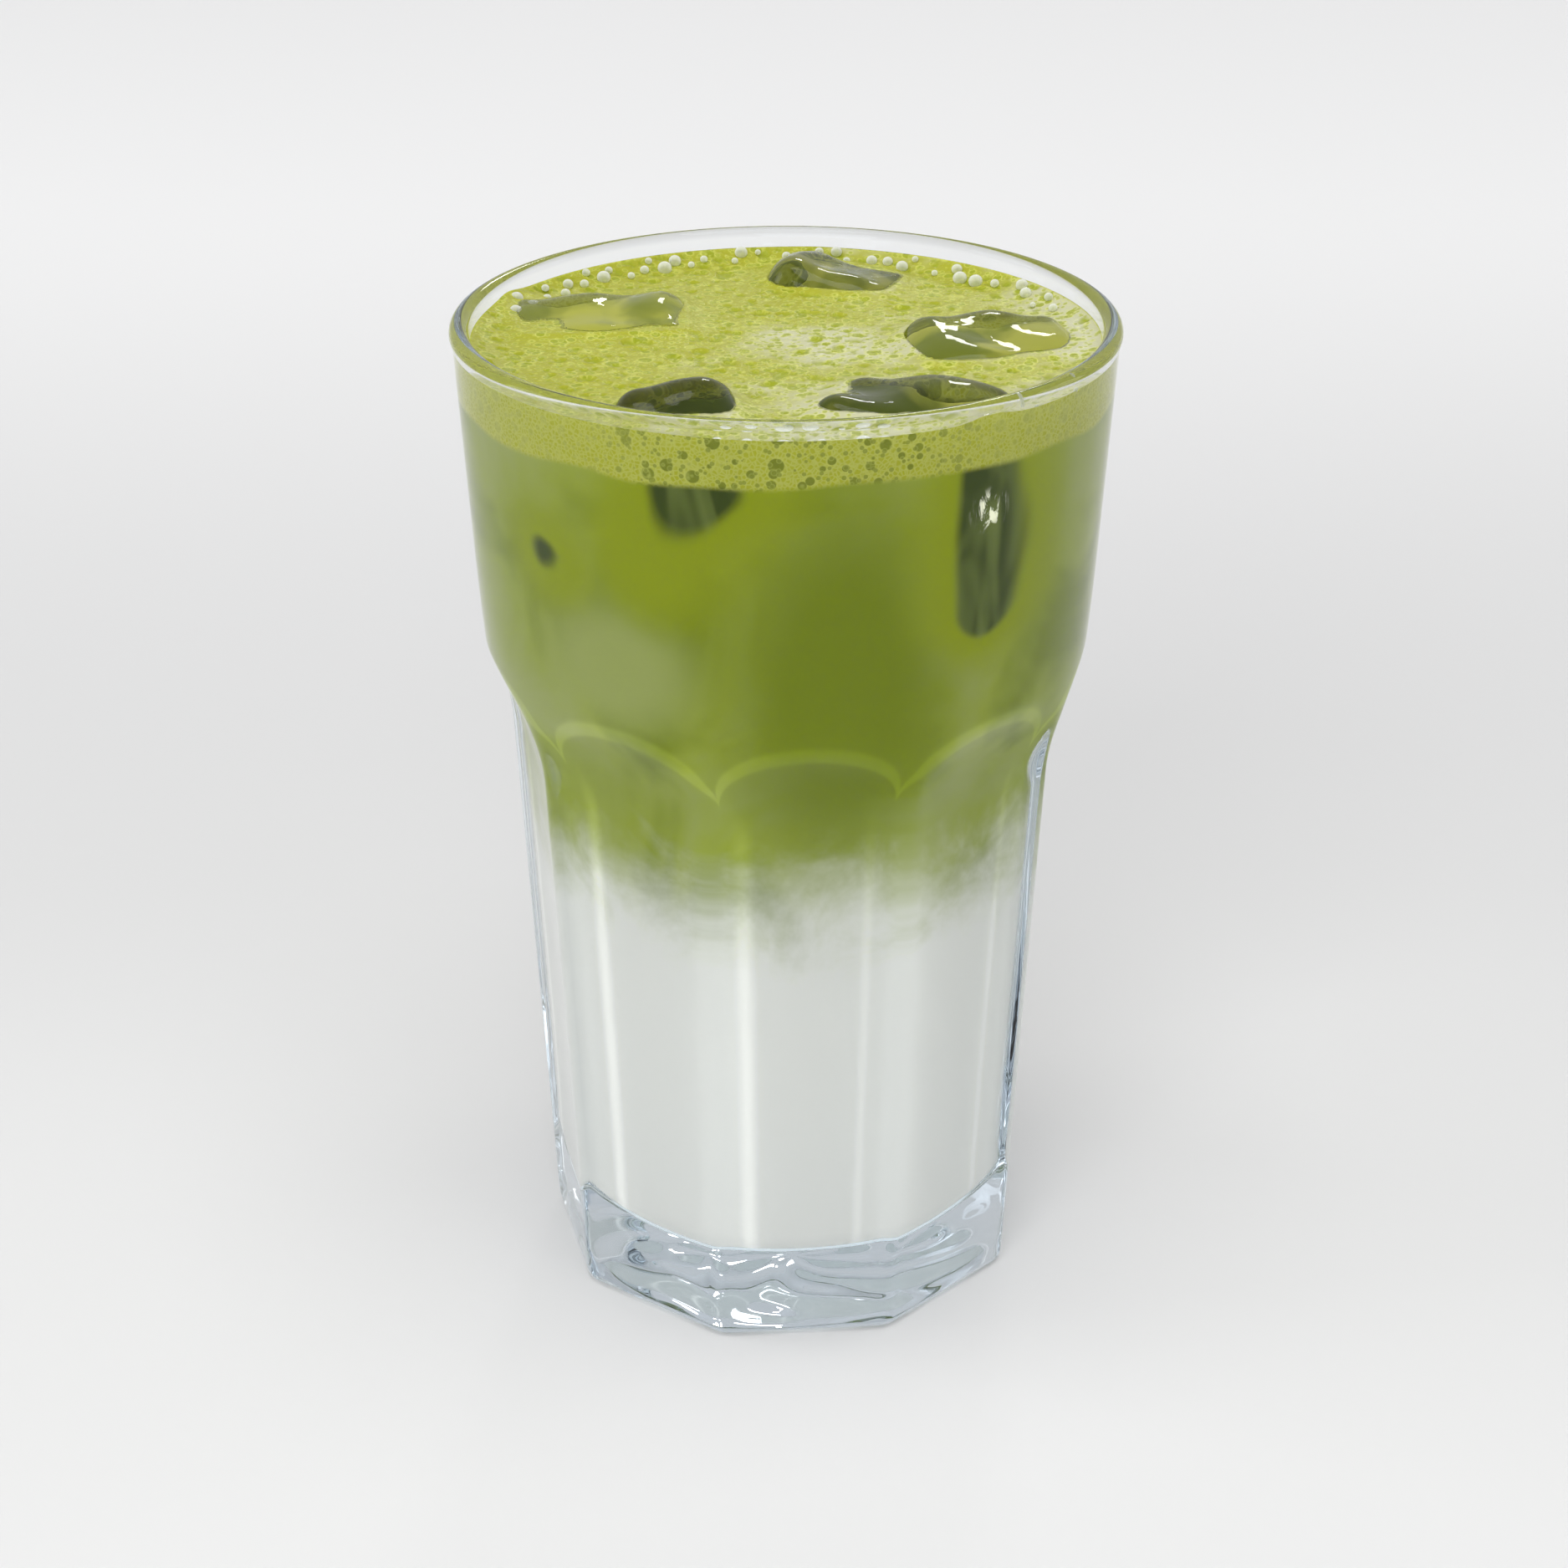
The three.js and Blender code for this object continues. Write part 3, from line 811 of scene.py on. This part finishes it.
def drink_against_glass(g, d, c):
    """Milk below and matcha above, with a cloudy band between them and foam at the top, against the glass.
    An opaque liquid: it mirrors only at a glancing view, as its index is lower than the glass's."""
    material, tree = new_material("milk_and_matcha")
    place = add(tree, PLACE)
    height = add(tree, "ShaderNodeSeparateXYZ", (place,), "Z")
    clouds = add(tree, NOISE, {
        "Vector": place, "Scale": 1 / (14 * MM), "Detail": 4.0, "Roughness": 0.55, "Distortion": 0.8})
    wisps = add(tree, NOISE, {"Vector": place, "Scale": 1 / (3 * MM), "Detail": 3.0, "Roughness": 0.6})
    level = add(tree, MATH, (clouds, 18 * MM, -11.5 * MM), operation="MULTIPLY_ADD")
    level = add(tree, MATH, (wisps, 5 * MM, level), operation="MULTIPLY_ADD")
    level = add(tree, MATH, (level, height), operation="ADD")
    reach = d.blend_depth / 2
    share = add(tree, RANGE, (level, d.blend_z - reach, d.blend_z + reach))
    tone = add(tree, MIX, {0: share, 6: c.milk, 7: matcha_colour(tree, place, c)})

    # Painted light round the ice, and the ice painted on the film of drink at the wall with a soft edge.
    deep = add(tree, STORED, attribute_name="in_ice")
    halo = add(tree, RANGE, (deep, -7.0, -0.5))
    tone = add(tree, MIX, {0: halo, 6: tone, 7: c.matcha_lit})
    behind, glint = ice_behind_wall(tree, place, c)
    in_ice = add(tree, RANGE, (deep, -0.6, 0.7))
    tone = add(tree, MIX, {0: in_ice, 6: tone, 7: behind})
    lit = gathered_light(tree, place, g)
    gathered = add(tree, MIX, {0: lit, 6: (0.0, 0.0, 0.0, 1.0), 7: tone})
    # The painted glint: a white emission where the painted ice catches the light.
    glint = add(tree, MATH, (in_ice, glint), operation="MULTIPLY")
    gathered = add(tree, MIX, {0: glint, 6: gathered, 7: (3.0, 3.0, 2.4, 1.0)})
    drink = add(tree, PRINCIPLED, {
        "Base Color": tone, "Roughness": 0.5, "IOR": 1.02, "Specular IOR Level": 0.0,
        "Emission Color": gathered, "Emission Strength": GATHERED_LIGHT})
    froth = add(tree, PRINCIPLED, {
        "Base Color": foam_colour(tree, place, c), "Roughness": 0.5, "IOR": 1.02, "Specular IOR Level": 0.0})
    body = add(tree, "ShaderNodeMixShader", (foam_edge(tree, place), drink, froth))
    mirror = add(tree, "ShaderNodeBsdfGlossy", {"Color": (1.0, 1.0, 1.0, 1.0), "Roughness": 0.0})
    glance = add(tree, "ShaderNodeFresnel", {"IOR": 1.34 / 1.5})
    add(tree, OUTPUT, {"Surface": add(tree, "ShaderNodeMixShader", (glance, body, mirror))})
    return material


def ice_behind_wall(tree, place, c):
    """Ice against the wall, painted as the glass shows it: dark green painted shade, a grey-green painted
    reflection as its sheen, and a broken painted glint.
    """
    slanted = add(tree, "ShaderNodeMapping", {
        "Vector": place, "Rotation": (0.0, 0.9, 0.0), "Scale": (1.0, 1.0, 0.35)})
    sheen = add(tree, NOISE, {
        "Vector": slanted, "Scale": 1 / (8 * MM), "Detail": 2.0, "Roughness": 0.5, "Distortion": 0.8})
    sheen = add(tree, RANGE, (sheen, 0.4, 0.66))
    tone = add(tree, MIX, {0: sheen, 6: c.ice_painted_shade, 7: c.ice_painted_sheen})
    spot, reach = PAINTED_GLINT_SPOT
    away = add(tree, VECTOR, (place, [v * MM for v in spot]), "Value", operation="DISTANCE")
    near = add(tree, RANGE, (away, reach * MM, reach * 0.4 * MM))
    sparks = add(tree, NOISE, {
        "Vector": slanted, "Scale": 1 / (2.5 * MM), "Detail": 4.0, "Roughness": 0.7, "Distortion": 1.5})
    sparks = add(tree, RANGE, (sparks, 0.5, 0.58))
    return tone, add(tree, MATH, (near, sparks), operation="MULTIPLY")


def gathered_light(tree, place, g):
    """Where the round edges of the panels gather light onto the drink: beside each ridge, on the side away
    from the window, faintly on the shady side of the glass, and in a line under each arch."""
    x, y, z = add(tree, "ShaderNodeSeparateXYZ", (place,)).node.outputs
    back = add(tree, MATH, (y, -1.0), operation="MULTIPLY")
    azimuth = add(tree, MATH, (x, back), operation="ARCTAN2")
    half_step = math.pi / g.panels
    turned = add(tree, MATH, (azimuth, g.first_panel + half_step), operation="SUBTRACT")
    from_ridge = add(tree, MATH, (turned, half_step, -half_step), operation="WRAP")
    shady = add(tree, RANGE, (azimuth, -0.1, 0.25))
    streaks = 0.0
    for side, width, in_light, in_shade in (
        (-1, STREAK_WIDTH, 1.0, 0.1), (1, STREAK_WIDTH * 0.6, 0.0, 0.4),
    ):
        offset = add(tree, MATH, (from_ridge, side * STREAK_OFFSET), operation="ADD")
        offset = add(tree, MATH, (offset,), operation="ABSOLUTE")
        strength = add(tree, RANGE, (shady, 0.0, 1.0, in_light, in_shade), interpolation_type="LINEAR")
        streak = add(tree, RANGE, (offset, width, 0.0))
        streaks = add(tree, MATH, (streak, strength, streaks), operation="MULTIPLY_ADD")
    below_arch = add(tree, RANGE, (z, 86 * MM, 76 * MM))
    streaks = add(tree, MATH, (streaks, below_arch), operation="MULTIPLY")

    away = add(tree, MATH, (from_ridge,), operation="ABSOLUTE")
    across = add(tree, MATH, (away, half_step), operation="DIVIDE")
    across = add(tree, MATH, (1.0, across), operation="SUBTRACT")
    across = add(tree, MATH, (across, 2.0), operation="POWER")
    round_top = add(tree, MATH, (1.0, across), operation="SUBTRACT")
    round_top = add(tree, MATH, (round_top,), operation="SQRT")
    arch = add(tree, MATH, (round_top, (ARCH_TOP - ARCH_FOOT) * MM, ARCH_FOOT * MM), operation="MULTIPLY_ADD")
    off_line = add(tree, MATH, (z, arch), operation="SUBTRACT")
    off_line = add(tree, MATH, (off_line,), operation="ABSOLUTE")
    line = add(tree, RANGE, (off_line, 1.5 * MM, 0.3 * MM, 0.0, 1.5))
    bright = add(tree, MATH, (streaks, line), operation="MAXIMUM")
    return add(tree, MATH, (bright, 1.0 - SCATTERED_LIGHT, SCATTERED_LIGHT), operation="MULTIPLY_ADD")


def matcha_in_pocket(c, name):
    """The drink as seen through the ice: deep green, brighter where light comes down through the block."""
    material, tree = new_material("matcha_behind_" + name)
    place = add(tree, PLACE)
    clouds = add(tree, NOISE, {"Vector": place, "Scale": 1 / (9 * MM), "Detail": 2.0})
    glow = ICE_GLOW[name]
    light = add(tree, RANGE, (clouds, 0.55 - 0.4 * glow, 0.8 - 0.35 * glow, 0.6 * glow))
    tone = add(tree, MIX, {0: light, 6: c.pocket_deep, 7: c.pocket_lit})
    surface = add(tree, PRINCIPLED, {
        "Base Color": tone, "Roughness": 0.5, "Specular IOR Level": 0.0,
        "Emission Color": tone, "Emission Strength": glow})
    add(tree, OUTPUT, {"Surface": surface})
    return material


def matcha_foam(c):
    """Whisked foam: pale and fine, greener in patches, olive at the floor of each open bubble."""
    material, tree = new_material("whisked_matcha_foam")
    place = add(tree, PLACE)
    pit = add(tree, STORED, attribute_name="pit")
    pit = add(tree, MATH, (pit, 0.8), operation="MULTIPLY")
    tone = add(tree, MIX, {0: pit, 6: foam_colour(tree, place, c), 7: c.foam_pit})
    froth = foam_edge(tree, place)
    tone = add(tree, MIX, {0: froth, 6: matcha_colour(tree, place, c), 7: tone})
    grain = add(tree, VORONOI, {"Vector": place, "Scale": 1 / (0.5 * MM)}, feature="F1")
    bump = add(tree, "ShaderNodeBump", {"Strength": 0.3, "Distance": 0.2 * MM, "Height": grain})
    side = add(tree, STORED, attribute_name="side")
    rough = add(tree, RANGE, (side, 0.0, 1.0, 0.35, 1.0), interpolation_type="LINEAR")
    surface = add(tree, PRINCIPLED, {
        "Base Color": tone, "Roughness": rough, "IOR": 1.33, "Specular IOR Level": 0.35, "Normal": bump})
    add(tree, OUTPUT, {"Surface": surface})
    return material


def bubble_film():
    """A thin film of drink blown up: the white of the room is painted on it as a white coat, most at its
    edge, a painted reflection, and it shines wet with a real gloss.
    """
    material, tree = new_material("bubble_film")
    clear = add(tree, "ShaderNodeBsdfTransparent", {"Color": colour("#F8FAEC")})
    # A painted reflection: white matt colour for the room's white, with a real wet gloss on top.
    painted_reflection_and_gloss = add(tree, PRINCIPLED, {"Base Color": colour("#F2F4EC"), "Roughness": 0.06, "IOR": 1.34})
    edge = add(tree, "ShaderNodeLayerWeight", {"Blend": 0.5}, "Facing")
    cover = add(tree, RANGE, (edge, 0.0, 0.8, 0.3, 0.95), interpolation_type="LINEAR")
    add(tree, OUTPUT, {"Surface": add(tree, "ShaderNodeMixShader", (cover, clear, painted_reflection_and_gloss))})
    return material


def paper_floor(c):
    """Plain pale backdrop paper, matt. Painted shade darkens it a little in the middle distance, and painted
    light brightens it further back and, as an emission, under the glass, where the thick base gathers light
    on it."""
    material, tree = new_material("pale_backdrop_paper")
    place = add(tree, PLACE)
    behind = add(tree, "ShaderNodeSeparateXYZ", (place,), "Y")
    # Painted shade and light: the paper is darker in the middle distance and brighter further back.
    near = add(tree, RANGE, (behind, -0.05, 0.12, 1.0, 0.88))
    far = add(tree, RANGE, (behind, 0.15, 0.6, 0.0, 0.22))
    tone = add(tree, MATH, (near, far), operation="ADD")
    tone = add(tree, VECTOR, {0: tuple(c.floor)[:3], "Scale": tone}, operation="SCALE")
    fibre = add(tree, NOISE, {"Vector": place, "Scale": 1 / (1.1 * MM), "Detail": 3.0})
    bump = add(tree, "ShaderNodeBump", {"Strength": 0.03, "Distance": 0.2 * MM, "Height": fibre})
    # Painted light: the paper under the base glows, for the light that the thick base gathers on it.
    from_axis = add(tree, VECTOR, (place,), "Value", operation="LENGTH")
    under = add(
        tree, RANGE, (from_axis, 33 * MM, 29 * MM, 0.0, LIGHT_UNDER_BASE), interpolation_type="LINEAR")
    surface = add(tree, PRINCIPLED, {
        "Base Color": tone, "Roughness": 0.9, "Specular IOR Level": 0.1, "Normal": bump,
        "Emission Color": colour("#EAF6FF"), "Emission Strength": under})
    add(tree, OUTPUT, {"Surface": surface})
    return material


def dress(piece, material, slot, *nodes):
    """Gives a piece its material, sets it under the body, and hides the CAD nodes that it stands for. The
    slot is not used.
    """
    piece.data.materials.append(material)
    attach(piece, BODY)
    if nodes:
        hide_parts(*nodes)


class MATCHA_OT_glass(bpy.types.Operator):
    """Make the panelled tumbler"""
    bl_idname = "matcha.glass"
    bl_label = "Tumbler"

    def execute(self, context):
        dress(make_glass(context.scene.matcha_glass), pressed_glass(), "clear_glass", "glass")
        return {"FINISHED"}


class MATCHA_OT_drink(bpy.types.Operator):
    """Make the milk and the matcha above it"""
    bl_idname = "matcha.drink"
    bl_label = "Milk and matcha"

    def execute(self, context):
        g, d, c = sizes()
        look = drink_against_glass(g, d, c)
        milk = make_layer("milk_below", g, d, g.floor_z - d.into_wall, MILK_HIGH[2])
        dress(milk, look, "milk", "milk_layer")
        matcha = make_layer("matcha_above", g, d, MILK_HIGH[2], FOAM_LOW[2], cap_low=False)
        dress(matcha, look, "matcha", "matcha_layer")
        cut_round_ice(matcha, {name: matcha_in_pocket(c, name) for name in ice_shapes()}, g, d)
        return {"FINISHED"}


class MATCHA_OT_foam(bpy.types.Operator):
    """Make the bubbly foam"""
    bl_idname = "matcha.foam"
    bl_label = "Foam"

    def execute(self, context):
        g, d, c = sizes()
        foam = make_foam(g, d)
        dress(foam, matcha_foam(c), "foam", "foam_layer")
        cut_round_ice(foam, {name: foam.data.materials[0] for name in ice_shapes()}, g, d)
        return {"FINISHED"}


class MATCHA_OT_bubbles(bpy.types.Operator):
    """Make the bubbles that stand on the foam, and the drops on the wall above it"""
    bl_idname = "matcha.bubbles"
    bl_label = "Bubbles and drops"

    def execute(self, context):
        g, d, _ = sizes()
        tree, inputs = bubble_tree()
        film = bubble_film()
        for name, band in BUBBLE_BANDS.items():
            edges = []
            for from_wall, above in band["edges"]:
                level = d.foam_top + above * MM
                edges.append((inner_radius(g, level) - from_wall * MM, level))
            surface = ring_band("bubble_band", *edges, band["arc"])
            smallest, largest = band["radii"]
            piece = scatter_bubbles(name, surface, tree, inputs, {
                "Spacing": band["spacing"] * MM, "Density": BUBBLE_DENSITY, "Smallest": smallest * MM,
                "Largest": largest * MM, "Height": band["dome"], "Seed": band["seed"], "Look": film})
            if not piece.data.polygons:
                raise RuntimeError("No bubbles were made for " + name)
            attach(piece, BODY)
        return {"FINISHED"}


class MATCHA_OT_ice(bpy.types.Operator):
    """Make the ice blocks"""
    bl_idname = "matcha.ice"
    bl_label = "Ice"

    def execute(self, context):
        g, d, _ = sizes()
        look = clear_ice()
        for name, ice in ice_shapes().items():
            nodes = [name] if name in ICE_BLOCKS else []
            dress(make_ice(name, ice, g, d), look, "ice", *nodes)
        return {"FINISHED"}


class MATCHA_OT_stage(bpy.types.Operator):
    """Set up the floor, the soft light and the camera of the photograph"""
    bl_idname = "matcha.stage"
    bl_label = "Stage"

    def execute(self, context):
        scene = context.scene
        half = FLOOR_HALF
        low = -FLOOR_GAP
        corners = [(-half, -half, low), (half, -half, low), (half, half, low), (-half, half, low)]
        floor = new_mesh("studio_floor", corners, [(0, 1, 2, 3)])
        floor.data.materials.append(paper_floor(scene.matcha_colours))

        camera = bpy.data.cameras.new("camera")
        camera.sensor_width = SENSOR
        camera.lens = FOCAL_PIXELS * SENSOR / PHOTO
        camera.shift_x = (PHOTO / 2 - AXIS_PIXEL) / PHOTO
        view = bpy.data.objects.new("camera", camera)
        view.location = (0, -CAMERA_BACK, CAMERA_HIGH)
        view.rotation_euler = (math.radians(90 - CAMERA_DOWN), 0, 0)
        scene.collection.objects.link(view)
        scene.camera = view

        world = bpy.data.worlds.new("soft_white_room")
        world.use_nodes = True
        tree = world.node_tree
        way = add(tree, PLACE, output="Generated")
        back = add(tree, "ShaderNodeSeparateXYZ", (way,), "Y")
        bright = add(tree, RANGE, (back, -0.9, 0.3))
        grey = add(tree, MIX, {0: bright, 6: ROOM_IN_FRONT, 7: ROOM_BEHIND})
        backdrop = tree.nodes["Background"]
        tree.links.new(grey, backdrop.inputs["Color"])
        backdrop.inputs["Strength"].default_value = ROOM_STRENGTH
        scene.world = world

        for name, (place, size, power) in LAMPS.items():
            lamp = bpy.data.lights.new(name, "AREA")
            lamp.shape = "SQUARE"
            lamp.size = size
            lamp.energy = power
            stand = bpy.data.objects.new(name, lamp)
            stand.location = place
            aim = Vector(LAMP_AIM) - Vector(place)
            stand.rotation_euler = aim.to_track_quat("-Z", "Y").to_euler()
            scene.collection.objects.link(stand)
        scene.view_settings.view_transform = "Standard"
        for kind, bounces in LIGHT_BOUNCES.items():
            setattr(scene.cycles, kind, bounces)
        return {"FINISHED"}


class MATCHA_PT_panel(bpy.types.Panel):
    """Buttons for each piece, and its sizes"""
    bl_label = "Iced matcha latte"
    bl_idname = "MATCHA_PT_panel"
    bl_space_type = "VIEW_3D"
    bl_region_type = "UI"
    bl_category = "Matcha"

    def draw(self, context):
        for step in STEPS:
            self.layout.operator(step.bl_idname)
        for group in (context.scene.matcha_glass, context.scene.matcha_drink, context.scene.matcha_colours):
            box = self.layout.box()
            for key in group.bl_rna.properties.keys():
                if key not in ("rna_type", "name"):
                    box.prop(group, key)


GROUPS = {"matcha_glass": GlassSizes, "matcha_drink": DrinkSizes, "matcha_colours": DrinkColours}
STEPS = (
    MATCHA_OT_glass, MATCHA_OT_drink, MATCHA_OT_foam, MATCHA_OT_bubbles, MATCHA_OT_ice, MATCHA_OT_stage)


def register():
    for cls in (*GROUPS.values(), *STEPS, MATCHA_PT_panel):
        bpy.utils.register_class(cls)
    for key, cls in GROUPS.items():
        setattr(bpy.types.Scene, key, PointerProperty(type=cls))


def unregister():
    for key in GROUPS:
        delattr(bpy.types.Scene, key)
    for cls in reversed((*GROUPS.values(), *STEPS, MATCHA_PT_panel)):
        bpy.utils.unregister_class(cls)


def main():
    register()
    for step in STEPS:
        family, name = step.bl_idname.split(".")
        getattr(getattr(bpy.ops, family), name)()


if __name__ == "__main__":
    main()
